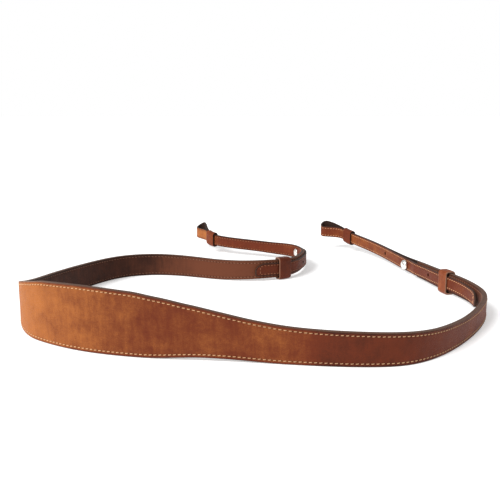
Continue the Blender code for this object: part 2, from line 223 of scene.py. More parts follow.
# How far the leather has pulled up to its light tone, with painted light and shade laid over it:
# lighter where the strap turns to the key light, darker where it turns away
# (distance from the left eye, share of the light tone)
BAND_TONES = (
    (0.00, 0.45),
    (0.47, 0.60),
    (0.52, 0.98),
    (0.56, 0.92),
    (0.59, 0.76),
    (0.63, 0.66),
    (0.66, 0.53),
    (0.72, 0.55),
    (0.745, 0.60),
    (0.756, 0.58),
    (0.766, 0.34),
    (0.80, 0.32),
    (0.83, 0.39),
    (0.87, 0.45),
    (0.94, 0.48),
    (1.26, 0.45),
)
# The lining's dark stretch on the left arm is painted shade, where it faces away from the key light
LINING_TONES = (
    (0.00, 0.60),
    (0.27, 0.62),
    (0.31, 0.40),
    (0.335, 0.28),
    (0.348, 0.16),
    (0.60, 0.14),
    (0.93, 0.30),
    (1.26, 0.60),
)
# The same for an end strap, by the distance from its joint to the eye and back to its tip;
# the light rise round the left eye's fold is a painted highlight
LEFT_TONES = (
    (0.00, 0.30),
    (0.06, 0.44),
    (0.17, 0.42),
    (0.195, 0.84),
    (0.25, 0.74),
    (0.40, 0.32),
    (0.48, 0.31),
)
RIGHT_TONES = (
    (0.00, 0.40),
    (0.20, 0.45),
    (0.25, 0.50),
    (0.29, 0.62),
    (0.36, 0.56),
    (0.42, 0.42),
    (0.53, 0.50),
)
# Each keeper's share of the light tone
KEEPER_TONES = {("left", "eye"): 0.56, ("left", "tip"): 0.30, ("right", "eye"): 0.42, ("right", "tip"): 0.62}


def linear(red, green, blue):
    """A colour given as 0 to 255 on screen, as the shader takes it."""
    shares = np.array((red, green, blue)) / 255.0
    return tuple(np.where(shares <= 0.04045, shares / 12.92, ((shares + 0.055) / 1.055) ** 2.4))


def colour(name, description, red, green, blue):
    return FloatVectorProperty(
        name=name, description=description, subtype="COLOR", size=3, min=0.0, max=1.0,
        default=linear(red, green, blue),
    )


def length(name, description, default):
    return FloatProperty(name=name, description=description, default=default, unit="LENGTH", precision=5)


class StrapSizes(PropertyGroup):
    """Sizes of the stitching and of the leather's relief."""

    pitch: length("Stitch Pitch", "Distance from hole to hole", 3.1 * MM)
    band_inset: length("Band Inset", "Stitch line's distance from the band's edge", 2.1 * MM)
    end_inset: length("End Inset", "Stitch line's distance from an end strap's edge", 1.7 * MM)
    thread: length("Thread Radius", "Half the thickness of the thread", 0.24 * MM)
    # Reach of the painted shade round each needle hole
    pit_shade: length("Pit Reach", "How far the dark of a needle hole reaches", 0.90 * MM)
    slant: length("Slant", "How far a stitch leans across its line", 0.45 * MM)
    groove: length("Groove Depth", "How deep the stitch line is pulled in", 0.24 * MM)
    groove_reach: length("Groove Reach", "Half the width of the groove", 0.48 * MM)
    rim: length("Rim Drop", "How far the leather falls away at its edge", 0.08 * MM)
    wave: length("Wave", "Height of the leather's slow unevenness", 0.13 * MM)
    rounding: length("Edge Rounding", "Radius of the band's burnished edges", 0.50 * MM)
    end_rounding: length("End Edge Rounding", "Radius of the end straps' edges", 0.34 * MM)


class StrapColours(PropertyGroup):
    """Colours of the leathers, threads and metal."""

    # The tan is also the colour of the painted highlights that the tone tables lay on the lit leather
    tan: colour("Tan", "Leather where it has pulled up light", 172, 103, 50)
    russet: colour("Russet", "Leather's middle tone", 101, 43, 22)
    cocoa: colour("Cocoa", "Leather's darkest waxed tone", 52, 24, 14)
    lining: colour("Lining", "Light tone of the lining", 100, 55, 36)
    # Painted shade: the lining where it faces away from the key light, and the eye keepers' shadowed edges
    # and insides; also the lining's darkest mottling
    lining_shade: colour("Lining Dark", "Handled places of the lining", 42, 21, 14)
    # Painted shade: the rough back of the leather, made dark for the inside of the eye folds, which lies in
    # shade
    shaded_flesh: colour("Flesh Side", "Rough back of the leather", 48, 31, 24)
    keeper: colour("Keeper", "Light tone of the keepers", 178, 98, 50)
    paint: colour("Edge Paint", "Painted cut edges", 90, 62, 47)
    end_paint: colour("End Paint", "Painted edges of the end straps", 58, 42, 34)
    # Painted highlight: the edge paint's colour where the leather is lit
    lit_edge_paint: colour("Worn Paint", "Painted edges where the leather has pulled up light", 152, 118, 100)
    # Painted highlight: the tip keepers' cut edges, lightened as if catching the light
    lit_keeper_edge: colour("Keeper Edge", "Cut edges of the keepers at the tips", 140, 100, 80)
    thread: colour("Thread", "Top thread", 232, 184, 136)
    left_thread: colour("Left End Thread", "Top thread of the left end, darkened by handling", 152, 95, 62)
    right_thread: colour("Right End Thread", "Top thread of the right end", 226, 168, 122)
    bobbin: colour("Bobbin Thread", "Thread on the lining", 138, 94, 70)
    nickel: colour("Nickel", "Studs", 250, 248, 242)


class StudioSettings(PropertyGroup):
    """Camera, floor and light."""

    focal: FloatProperty(name="Focal Length", description="In millimetres of a 36 mm sensor", default=50.4)
    eye_height: length("Camera Height", "Height above the floor", 0.150)
    eye_back: length("Camera Distance", "Distance from the strap's middle", 0.5911)
    eye_side: length("Camera Offset", "Distance to the right of the strap's middle", -0.0059)
    pitch: FloatProperty(
        name="Pitch", description="How far the camera looks down",
        default=math.radians(11.15), subtype="ANGLE",
    )
    floor: colour("Floor", "Pale floor", 244, 244, 244)
    sun: FloatProperty(name="Sun", description="Strength of the main light", default=3.1)
    sky: FloatProperty(name="Sky", description="Strength of the light from all round", default=0.55)


def smooth(share):
    share = np.clip(share, 0.0, 1.0)
    return share * share * (3.0 - 2.0 * share)


def slopes(rows):
    steps = [(b[1] - a[1]) / (b[0] - a[0]) for a, b in zip(rows, rows[1:])]
    inner = [0.0 if a * b <= 0.0 else 2.0 * a * b / (a + b) for a, b in zip(steps, steps[1:])]
    return [0.0] + inner + [steps[-1] if rows[-1][1] != rows[-2][1] else 0.0]


def read_table(table, shares, column=1):
    """Values of a column along a curve that doesn't overshoot its rows."""
    at = np.array([row[0] for row in table])
    value = np.array([row[column] for row in table])
    slope = np.array(slopes(list(zip(at, value))))
    shares = np.clip(shares, at[0], at[-1])
    k = np.clip(np.searchsorted(at, shares, side="right") - 1, 0, len(at) - 2)
    wide = at[k + 1] - at[k]
    t = (shares - at[k]) / wide
    start = (1.0 + 2.0 * t) * (1.0 - t) ** 2 * value[k] + t * (1.0 - t) ** 2 * wide * slope[k]
    return start + t * t * (3.0 - 2.0 * t) * value[k + 1] + t * t * (t - 1.0) * wide * slope[k + 1]


class Route:
    """The strap's line on the floor, read by the distance along it."""

    def __init__(self, shares, fine=40):
        knots = np.array(shares) * (LOOP_WIDTH / 2.0, LOOP_DEPTH / 2.0)
        gaps = np.linalg.norm(np.diff(knots, axis=0), axis=1)
        count = len(knots)
        matrix = np.zeros((count, count))
        matrix[0, 0] = 1.0
        matrix[-1, -1] = 1.0
        jumps = np.zeros((count, 2))
        for i in range(1, count - 1):
            matrix[i, i - 1:i + 2] = gaps[i - 1], 2.0 * (gaps[i - 1] + gaps[i]), gaps[i]
            after = (knots[i + 1] - knots[i]) / gaps[i]
            before = (knots[i] - knots[i - 1]) / gaps[i - 1]
            jumps[i] = 6.0 * (after - before)
        bends = np.linalg.solve(matrix, jumps)
        b = (np.arange(fine) / fine)[None, :, None]
        a = 1.0 - b
        bend = (a**3 - a) * bends[:-1, None] + (b**3 - b) * bends[1:, None]
        read = a * knots[:-1, None] + b * knots[1:, None] + bend * gaps[:, None, None] ** 2 / 6.0
        self.points = np.concatenate((read.reshape(-1, 2), knots[-1:]))
        steps = np.linalg.norm(np.diff(self.points, axis=0), axis=1)
        self.along = np.concatenate(([0.0], np.cumsum(steps)))
        self.length = self.along[-1]

    def on_line(self, along):
        return np.stack([np.interp(along, self.along, self.points[:, axis]) for axis in (0, 1)], axis=-1)

    def heading(self, along):
        start = np.clip(np.asarray(along) - HEADING_REACH, 0.0, self.length - 2.0 * HEADING_REACH)
        run = self.on_line(start + 2.0 * HEADING_REACH) - self.on_line(start)
        return run / np.linalg.norm(run, axis=-1, keepdims=True)

    def outward(self, along):
        run = self.heading(along)
        return np.stack((run[..., 1], -run[..., 0]), axis=-1)

    def place(self, along, offset=0.0):
        return self.on_line(along) + self.outward(along) * np.asarray(offset)[..., None]


LINE = Route(ROUTE)
PAD_MIDDLE = PAD_PLACE * LINE.length
KEEPER_LIFT = KEEPER_WALL + KEEPER_PLAY
FACE_OFFSET = CLEAR / 2.0 + FACE_THICK / 2.0
LINING_OFFSET = -(CLEAR / 2.0 + LINING_THICK / 2.0)
END_OUT = CLEAR / 2.0 + END_THICK / 2.0
END_ON_LINING = LINING_OFFSET - LINING_THICK / 2.0 - CLEAR - END_THICK / 2.0
EYE_RADIUS = EYE_BORE / 2.0 + END_THICK / 2.0


class End:
    """One end of the strap, read by the distance from its eye."""

    def __init__(self, name, stud, joint_past_stud, tip_margin, tip_standoff, eye_height, eye_skew):
        self.name = name
        self.from_start = name == "left"
        self.column = 1 if self.from_start else 2
        self.stud = stud
        self.eye_height = eye_height
        self.eye_skew = eye_skew
        self.joint = stud + joint_past_stud
        self.lining_end = stud + LINING_SHORT_OF_STUD
        self.tip = stud + HOLE_PITCH + tip_margin
        self.tip_standoff = tip_standoff
        self.holes = (stud - HOLE_PITCH, stud, stud + HOLE_PITCH)
        self.arm = abs(PAD_MIDDLE - self.along(self.joint))

    def along(self, away):
        return away if self.from_start else LINE.length - away

    def middle(self, away):
        low = KEEPER_LIFT + ARM_END_WIDTH / 2.0
        drop = read_table(END_DROP, away / self.joint, self.column)
        return self.eye_height + (low - self.eye_height) * drop

    def skew(self, away):
        return self.eye_skew * (1.0 - smooth(away / EYE_KEEPER))

    def outer_width(self, away):
        share = (away - self.stud + TAPER_LEAD) / (self.joint - self.stud + TAPER_LEAD)
        return END_WIDTH + (ARM_END_WIDTH - END_WIDTH) * read_table(END_TAPER, share)

    def spread(self, away):
        share = smooth((away - EYE_RADIUS) / (EYE_LENGTH - EYE_RADIUS))
        return EYE_RADIUS + (END_OUT - EYE_RADIUS) * share

    def inner_offset(self, away):
        up = smooth((away - self.stud - HEAD_RADIUS) / (LINING_SHORT_OF_STUD - HEAD_RADIUS))
        off = smooth((away - self.joint - KEEPER_LENGTH) / (self.tip - self.joint))
        lying = -END_OUT + (END_ON_LINING + END_OUT) * up - self.tip_standoff * off
        return np.where(away < EYE_LENGTH, -self.spread(away), lying)

    def inner_middle(self, away):
        lower = self.middle(away) - self.skew(away)
        return np.where(away <= self.joint, lower, band_middle(self.along(away)))


def by_arm(along, arm_value, end_value):
    """Reads the pad and arms up to each joint, and the end straps beyond."""
    along = np.asarray(along, float)
    value = np.zeros(along.shape)
    for end, mine in ((ENDS[0], along < PAD_MIDDLE), (ENDS[1], along >= PAD_MIDDLE)):
        share = np.abs(along - PAD_MIDDLE) / end.arm
        beyond = end.joint - (share - 1.0) * end.arm
        value = np.where(mine, np.where(share >= 1.0, end_value(end, beyond), arm_value(end, share)), value)
    return value


def band_width(along):
    def arm(end, share):
        return ARM_END_WIDTH + (PAD_WIDTH - ARM_END_WIDTH) * read_table(PAD_TAPER, share, end.column)

    return by_arm(along, arm, lambda end, away: end.outer_width(away))


def band_middle(along):
    def arm(end, share):
        return band_width(along) / 2.0 + KEEPER_LIFT * read_table(PAD_LIFT, share)

    return by_arm(along, arm, lambda end, away: end.middle(away))


ENDS = (
    End(
        "left", LEFT_STUD, LEFT_JOINT_PAST_STUD, LEFT_TIP_MARGIN, LEFT_TIP_STANDOFF,
        LEFT_EYE_HEIGHT, LEFT_EYE_SKEW,
    ),
    End(
        "right", RIGHT_STUD, RIGHT_JOINT_PAST_STUD, RIGHT_TIP_MARGIN, RIGHT_TIP_STANDOFF,
        RIGHT_EYE_HEIGHT, RIGHT_EYE_SKEW,
    ),
)


# The leather's slow unevenness: (turns along, turns up, start, share of its height)
WAVES = (
    (97.0, 60.0, 1.3, 0.40),
    (211.0, -130.0, 4.1, 0.30),
    (389.0, 210.0, 0.4, 0.18),
    (57.0, 320.0, 0.0, 0.25),
)
# How much the stitch groove rises between two needle holes
BETWEEN_HOLES = 0.28


class Strip:
    """A strip of leather on edge: its line, and a front side that the normal points to."""

    def __init__(self, xy, normal, middle, width, thick, along, inset, tip=False):
        steps = np.linalg.norm(np.diff(xy, axis=0), axis=1)
        self.t = np.concatenate(([0.0], np.cumsum(steps)))
        self.xy = xy
        self.normal = normal
        self.middle = middle
        self.width = width
        self.thick = thick
        self.along = along
        self.inset = inset
        self.tip = tip
        self.length = self.t[-1]

    def read(self, values, t):
        if values.ndim == 1:
            return np.interp(t, self.t, values)
        return np.stack([np.interp(t, self.t, values[:, k]) for k in range(values.shape[1])], axis=-1)

    def kept(self, t):
        """Shares of half the width below and above the middle that the tip's cut leaves."""
        if not self.tip:
            return 1.0, 1.0
        share = (self.length - t) / TIP_LENGTH
        return read_table(TIP_CUT, share, 1), read_table(TIP_CUT, share, 2)

    def wide(self, t):
        below, above = self.kept(t)
        return self.read(self.width, t) * (above + below) / 2.0

    def height(self, t):
        below, above = self.kept(t)
        return self.read(self.middle, t) + self.read(self.width, t) * (above - below) / 4.0

    def nearness(self, sizes, inset):
        """1 on the stitch line, falling to 0 beside it."""
        return np.exp(-(((inset - self.inset) / sizes.groove_reach) ** 2))

    def relief(self, sizes, t, inset, up):
        """How far the surface stands above the plain strip."""
        along = self.read(self.along, t)
        holes = 1.0 - BETWEEN_HOLES + BETWEEN_HOLES * np.cos(math.tau * t / sizes.pitch)
        groove = -sizes.groove * self.nearness(sizes, inset) * holes
        rim = -sizes.rim * (1.0 - smooth(inset / (self.inset * 0.9)))
        slow = sum(np.sin(along * a + up * b + start) * share for a, b, start, share in WAVES)
        return groove + rim + sizes.wave * slow * smooth(inset / self.inset)

    def point(self, sizes, t, up, side, lift=0.0):
        """A point on the surface: side is 1 for the front and -1 for the back."""
        inset = self.wide(t) / 2.0 - np.abs(up)
        out = side * (self.thick / 2.0 + self.relief(sizes, t, inset, up) + lift)
        xy = self.read(self.xy, t) + self.facing(t) * out[..., None]
        return np.concatenate((xy, (self.height(t) + up)[..., None]), axis=-1)

    def facing(self, t):
        normal = self.read(self.normal, t)
        return normal / np.linalg.norm(normal, axis=-1, keepdims=True)


# A third of the stitch pitch, so that every needle hole falls next to a row of corners
STRIP_STEP = 3.1 / 3.0 * MM
INNER_COLUMNS = 12
CORNER_STEPS = (22.5, 45.0, 67.5, 90.0)
CAP_RADIUS = 0.4 * MM
CAP_SHARES = (0.0, 0.3, 1.0)
# Columns of corners beside the stitch line, in millimetres from it
NEAR_LINE = (-0.85, -0.45, -0.2, 0.0, 0.2, 0.45, 0.9)
# The inset that the edge map stores as 1
INSET_SCALE = 10.0 * MM
FOLD_STEPS = 24
# Where each end's leather lies in the hide, so that its mottling is its own
LEFT_HIDE = 1.4
RIGHT_HIDE = 2.2


def zone(inset, rounding):
    """Insets of the columns near an edge, close together round the stitch line."""
    return np.array([rounding] + [inset + d * MM for d in NEAR_LINE])


def section(strip, sizes, t, front_round, back_round, back_detail):
    """Rings round a strip: positions across it, and what the shaders need to know of them."""
    width = strip.wide(t)[:, None]
    near = zone(strip.inset, front_round)[None, :] * np.ones_like(width)
    near = np.minimum(near, width * 0.42 * np.linspace(0.25, 1.0, near.shape[1])[None, :] + front_round * 0.3)
    shares = np.linspace(0.0, 1.0, INNER_COLUMNS + 2)[None, 1:-1]
    last = near[:, -1:]
    inner = last + (width - 2.0 * last) * shares
    insets = np.concatenate((near, inner, width - near[:, ::-1]), axis=1)
    down = width / 2.0 - insets
    half = strip.thick / 2.0
    columns = []

    def add(up, out, side, paint):
        columns.append((up, out * np.ones_like(up), side, paint))

    def corner(radius, sign_out, sign_up, degrees):
        for step in degrees:
            angle = math.radians(step)
            up = sign_up * (width[:, 0] / 2.0 - radius + radius * math.sin(angle))
            add(up, sign_out * (half - radius + radius * math.cos(angle)), 0, min(1.0, step / 45.0))

    for k in range(down.shape[1]):
        add(down[:, k], half, 1, 0.0)
    corner(front_round, 1.0, -1.0, CORNER_STEPS)
    corner(back_round, -1.0, -1.0, CORNER_STEPS[::-1])
    back = range(down.shape[1] - 1, -1, -1) if back_detail else (down.shape[1] - 1, 0)
    for k in back:
        add(down[:, k], -half, -1, 0.0)
    corner(back_round, -1.0, 1.0, CORNER_STEPS)
    corner(front_round, 1.0, 1.0, CORNER_STEPS[::-1])
    up = np.stack([c[0] for c in columns], axis=1)
    out = np.stack([c[1] for c in columns], axis=1)
    side = np.array([c[2] for c in columns])[None, :]
    paint = np.array([c[3] for c in columns])[None, :] * np.ones_like(up)
    behind = (side < 0) * np.ones_like(up)
    inset = width / 2.0 - np.abs(up)
    relief = strip.relief(sizes, t[:, None] * np.ones_like(up), inset, up)
    return up, out + side * relief * (side != 0), paint, inset, behind


def mesh_object(name, points, faces, look, smooth_angle=40.0):
    mesh = bpy.data.meshes.new(name)
    mesh.from_pydata(points.reshape(-1, 3).tolist(), [], faces)
    mesh.materials.append(look)
    mesh.update()
    made = bpy.data.objects.new(name, mesh)
    bpy.context.scene.collection.objects.link(made)
    mesh.shade_smooth()
    mesh.set_sharp_from_angle(angle=math.radians(smooth_angle))
    return made


def corner_map(mesh, name, pairs):
    """Stores two numbers for each corner, which cuts and exports carry along."""
    layer = mesh.uv_layers.new(name=name)
    index = np.zeros(len(mesh.loops), int)
    mesh.loops.foreach_get("vertex_index", index)
    layer.data.foreach_set("uv", pairs.reshape(-1, 2)[index].astype(np.float32).ravel())


def ring_faces(rows, around, wrap_rows=False):
    last = rows if wrap_rows else rows - 1
    faces = []
    for row in range(last):
        below = (row + 1) % rows
        for k in range(around):
            after = (k + 1) % around
            corners = (row, k), (row, after), (below, after), (below, k)
            faces.append(tuple(r * around + c for r, c in corners))
    return faces


def closed_faces(rows, around):
    """Faces of a loft of rings with a cap at each end."""
    caps = [tuple(range(around))[::-1], tuple(range((rows - 1) * around, rows * around))]
    return ring_faces(rows, around) + caps


def strip_object(strip, sizes, name, look, front_round, back_round, back_detail):
    """Lofts a strip with rounded ends."""
    caps = np.array(CAP_SHARES) * CAP_RADIUS
    first = CAP_RADIUS + STRIP_STEP / 2.0
    rows = np.arange(first, strip.length - CAP_RADIUS - STRIP_STEP / 2.0, STRIP_STEP)
    t = np.concatenate((caps, rows, strip.length - caps[::-1]))
    up, out, paint, inset, behind = section(strip, sizes, t, front_round, back_round, back_detail)
    end = np.minimum(t, strip.length - t)
    left = np.clip(1.0 - end / CAP_RADIUS, 0.0, 1.0)
    shrink = (CAP_RADIUS * (1.0 - np.sqrt(1.0 - left**2)))[:, None]
    up = up * (1.0 - shrink / (strip.wide(t)[:, None] / 2.0))
    out = out * (1.0 - shrink / (strip.thick / 2.0))
    paint = np.maximum(paint, (end < CAP_RADIUS * 1.01)[:, None])
    xy = strip.read(strip.xy, t)[:, None] + strip.facing(t)[:, None] * out[..., None]
    z = strip.height(t)[:, None] + up
    points = np.concatenate((xy, z[..., None]), axis=-1)
    made = mesh_object(name, points, closed_faces(*up.shape), look)
    outwards(made)
    along = (strip.read(strip.along, t))[:, None] * np.ones_like(up)
    corner_map(made.data, "leather", np.stack((along, up), axis=-1))
    corner_map(made.data, "edge", np.stack((paint, inset / INSET_SCALE), axis=-1))
    near = strip.nearness(sizes, inset)
    # Where the painted shade of the needle holes lies, and the stitch line's nearness
    from_hole = np.abs((t / sizes.pitch + 0.5) % 1.0 - 0.5) * sizes.pitch
    hole = np.clip(1.0 - from_hole / sizes.pit_shade, 0.0, 1.0)
    corner_map(made.data, "pits", np.stack((near * hole[:, None], near), axis=-1))
    corner_map(made.data, "side", np.stack((behind, behind), axis=-1))
    return made


def band_strip(sizes, start, finish, offset, thick, front):
    along = np.linspace(start, finish, int((finish - start) / STRIP_STEP) + 1)
    return Strip(
        LINE.place(along, offset), LINE.outward(along) * front, band_middle(along), band_width(along),
        thick, along, sizes.band_inset,
    )


def eye_fold(end, angle, reach):
    """Points round the eye at a distance from its middle."""
    eye = end.along(EYE_RADIUS) + np.zeros_like(angle)
    back = -1.0 if end.from_start else 1.0
    behind = (back * reach * np.sin(angle))[:, None]
    return LINE.place(eye, reach * np.cos(angle)) + LINE.heading(eye) * behind


def end_strip(end, sizes):
    """From the joint to the eye, round the fold and back to the tip."""
    out_steps = int((end.joint - EYE_RADIUS) / STRIP_STEP)
    away = np.linspace(end.joint - CLEAR / 2.0, EYE_RADIUS, out_steps)
    offset = np.where(away < EYE_LENGTH, end.spread(away), END_OUT)
    outer = LINE.place(end.along(away), offset)
    back = -1.0 if end.from_start else 1.0
    angle = np.linspace(0.0, math.pi, FOLD_STEPS + 2)[1:-1]
    fold = eye_fold(end, angle, EYE_RADIUS)
    in_away = np.linspace(EYE_RADIUS, end.tip, int((end.tip - EYE_RADIUS) / STRIP_STEP))
    inner = LINE.place(end.along(in_away), end.inner_offset(in_away))
    xy = np.concatenate((outer, fold, inner))
    eye_middle = end.middle(EYE_RADIUS) + end.skew(EYE_RADIUS) * np.cos(angle)
    middle = np.concatenate((end.middle(away) + end.skew(away), eye_middle, end.inner_middle(in_away)))
    width = np.concatenate((end.outer_width(away), END_WIDTH + 0.0 * angle, END_WIDTH + 0.0 * in_away))
    run = np.gradient(xy, axis=0)
    run /= np.linalg.norm(run, axis=1, keepdims=True)
    normal = np.stack((run[:, 1], -run[:, 0]), axis=1) * back
    travel = np.concatenate(([0.0], np.cumsum(np.linalg.norm(np.diff(xy, axis=0), axis=1))))
    hide = LEFT_HIDE if end.from_start else RIGHT_HIDE
    return Strip(xy, normal, middle, width, END_THICK, travel + hide, sizes.end_inset, tip=True)


# One stitch: (share of the way from hole to hole, height over the leather in millimetres)
STITCH_SHAPE = (
    (0.18, -0.30), (0.25, 0.02), (0.36, 0.14), (0.50, 0.17), (0.64, 0.14), (0.75, 0.02), (0.82, -0.30),
)
THREAD_SIDES = 6


def stitch_points(strip, sizes, holes, ups, side):
    """Rings of thread from each hole to the next: holes are distances, ups heights."""
    shares = np.array([row[0] for row in STITCH_SHAPE])
    lifts = np.array([row[1] for row in STITCH_SHAPE]) * MM
    a, b = holes[:-1, None], holes[1:, None]
    t = a + (b - a) * shares
    up = ups[:-1, None] + (ups[1:, None] - ups[:-1, None]) * shares
    up = up + sizes.slant * (shares - 0.5) * side
    centre = strip.point(sizes, t, up, side, lifts[None, :] * np.ones_like(t))
    facing = strip.facing(t) * side
    facing = np.concatenate((facing, np.zeros(t.shape + (1,))), axis=-1)
    ahead = np.gradient(centre, axis=1)
    ahead /= np.linalg.norm(ahead, axis=-1, keepdims=True)
    across = np.cross(facing, ahead)
    across /= np.linalg.norm(across, axis=-1, keepdims=True)
    turn = np.arange(THREAD_SIDES) * math.tau / THREAD_SIDES
    round_it = facing[:, :, None] * np.cos(turn)[:, None] + across[:, :, None] * np.sin(turn)[:, None]
    return centre[:, :, None] + sizes.thread * round_it


def thread_object(name, groups, look):
    """One object of all the stitches in the groups, each an own closed body."""
    rings = np.concatenate([group.reshape(-1, len(STITCH_SHAPE), THREAD_SIDES, 3) for group in groups])
    count, rows = rings.shape[:2]
    single = closed_faces(rows, THREAD_SIDES)
    size = rows * THREAD_SIDES
    faces = [tuple(v + k * size for v in face) for k in range(count) for face in single]
    made = mesh_object(name, rings, faces, look, 70.0)
    outwards(made)
    twist = np.zeros((count, rows, THREAD_SIDES, 2))
    twist[..., 0] = (np.arange(count)[:, None, None] * 0.37) % 1.0 + np.arange(rows)[None, :, None] / rows
    twist[..., 1] = np.arange(THREAD_SIDES) / THREAD_SIDES
    corner_map(made.data, "leather", twist)
    return made


def outwards(made):
    """Turns a closed mesh's faces outwards if its volume comes out negative."""
    mesh = made.data
    mesh.calc_loop_triangles()
    places = np.zeros(len(mesh.vertices) * 3)
    mesh.vertices.foreach_get("co", places)
    places = places.reshape(-1, 3)
    corners = np.zeros(len(mesh.loop_triangles) * 3, int)
    mesh.loop_triangles.foreach_get("vertices", corners)
    a, b, c = (places[corners.reshape(-1, 3)[:, k]] for k in range(3))
    if np.einsum("ij,ij->i", a, np.cross(b, c)).sum() < 0.0:
        mesh.flip_normals()


def hole_places(sizes, start, finish):
    first = math.ceil(start / sizes.pitch)
    return np.arange(first, int(finish / sizes.pitch) + 1) * sizes.pitch


def edge_stitches(strip, sizes, start, finish, side=1):
    """Both edges' lines of stitches."""
    holes = hole_places(sizes, start, finish)
    line = strip.wide(holes) / 2.0 - strip.inset
    return [stitch_points(strip, sizes, holes, line * sign, side) for sign in (1.0, -1.0)]


# Keeps the holes across the tip apart along the strip too
TIP_DRIFT = 0.001 * MM


def tip_stitches(strip, sizes, at):
    """The short line across the tip."""
    reach = float(strip.wide(np.array(at))) / 2.0 - strip.inset
    count = max(2, round(2.0 * reach / sizes.pitch) + 1)
    ups = np.linspace(-reach, reach, count)
    return [stitch_points(strip, sizes, at + TIP_DRIFT * np.arange(count), ups, 1)]


class Nodes:
    """Writes nodes into a tree in short lines."""

    def __init__(self, tree):
        self.tree = tree

    def add(self, kind, inputs=(), **settings):
        made = self.tree.nodes.new(kind)
        for name, value in settings.items():
            setattr(made, name, value)
        for name, value in dict(inputs).items():
            self.feed(made.inputs[name], value)
        return made

    def feed(self, socket, value):
        if isinstance(value, bpy.types.NodeSocket):
            self.tree.links.new(value, socket)
        else:
            socket.default_value = value

    def math(self, operation, a, b=0.0, clamp=False):
        return self.add("ShaderNodeMath", {0: a, 1: b}, operation=operation, use_clamp=clamp).outputs[0]

    def ramp(self, value, low, high):
        """0 below low and 1 above high, with a soft step between."""
        ranged = self.add("ShaderNodeMapRange", {"Value": value, "From Min": low, "From Max": high},
                          interpolation_type="SMOOTHSTEP")
        return ranged.outputs["Result"]

    def scaled(self, value, times, plus):
        return self.add("ShaderNodeMath", {0: value, 1: times, 2: plus}, operation="MULTIPLY_ADD").outputs[0]

    def mix(self, factor, a, b):
        made = self.add("ShaderNodeMix", {0: factor, 6: a, 7: b}, data_type="RGBA")
        return made.outputs[2]

    def stretch(self, vector, x, y, z=1.0):
        return self.add("ShaderNodeVectorMath", {0: vector, 1: (x, y, z)}, operation="MULTIPLY").outputs[0]

    def noise(self, vector, scale, detail=3.0, roughness=0.55, x=1.0, y=1.0):
        if (x, y) != (1.0, 1.0):
            vector = self.stretch(vector, x, y)
        made = self.add("ShaderNodeTexNoise", {"Vector": vector, "Scale": scale, "Detail": detail,
                                               "Roughness": roughness})
        return made.outputs[0]

    def attribute(self, name):
        return self.add("ShaderNodeAttribute", attribute_name=name).outputs["Vector"]

    def split(self, vector):
        return self.add("ShaderNodeSeparateXYZ", {0: vector}).outputs

    def use(self, tree, values):
        """Places a node group with its own values."""
        return self.add("ShaderNodeGroup", values, node_tree=tree).outputs

    def bump(self, shader, height):
        made = self.add("ShaderNodeBump", {"Height": height, "Strength": 1.0, "Distance": 1.0})
        self.feed(shader.inputs["Normal"], made.outputs["Normal"])


def group(name, inputs, outputs, write):
    """A shader node group with named sockets, built once."""
    tree = bpy.data.node_groups.get(name)
    if tree:
        return tree
    tree = bpy.data.node_groups.new(name, "ShaderNodeTree")
    for label, kind, default in inputs:
        socket = tree.interface.new_socket(label, in_out="INPUT", socket_type=kind)
        if default is not None:
            socket.default_value = default
    for label, kind in outputs:
        tree.interface.new_socket(label, in_out="OUTPUT", socket_type=kind)
    nodes = Nodes(tree)
    given = nodes.add("NodeGroupInput").outputs
    results = write(nodes, given)
    nodes.add("NodeGroupOutput", results)
    return tree


VECTOR, COLOUR, FLOAT = "NodeSocketVector", "NodeSocketColor", "NodeSocketFloat"


def mottle_group():
    """Waxed leather's tones: slow clouds, creases across the strap and fine specks."""

    def write(nodes, given):
        place = given["Place"]
        cloud = nodes.noise(place, 62.0, 6.0, 0.74)
        crease = nodes.noise(place, 1.0, 3.0, 0.62, 420.0, 70.0)
        speck = nodes.noise(place, 1500.0, 2.0, 0.6)
        tone = given["Tone"]
        for pattern, amount in ((cloud, "Clouds"), (crease, "Creases"), (speck, "Specks")):
            swing = nodes.math("MULTIPLY", nodes.math("SUBTRACT", pattern, 0.5), given[amount])
            tone = nodes.math("ADD", tone, swing, clamp=pattern is speck)
        low = nodes.mix(nodes.ramp(tone, 0.0, 0.5), given["Dark"], given["Middle"])
        return {"Color": nodes.mix(nodes.ramp(tone, 0.42, 1.0), low, given["Light"]), "Tone": tone}

    return group(
        "waxed_mottle",
        (
            ("Place", VECTOR, None),
            ("Tone", FLOAT, 0.5),
            ("Clouds", FLOAT, 0.8),
            ("Creases", FLOAT, 0.4),
            ("Specks", FLOAT, 0.2),
            ("Light", COLOUR, None),
            ("Middle", COLOUR, None),
            ("Dark", COLOUR, None),
        ),
        (("Color", COLOUR), ("Tone", FLOAT)),
        write,
    )


# The finest relief, in metres
GRAIN_WARP = 1.6 * MM
PEBBLE_HEIGHT = 0.022 * MM
CREASE_HEIGHT = 0.070 * MM
PORE_HEIGHT = 0.014 * MM
PLY_HEIGHT = 0.040 * MM
RUB_HEIGHT = 0.006 * MM


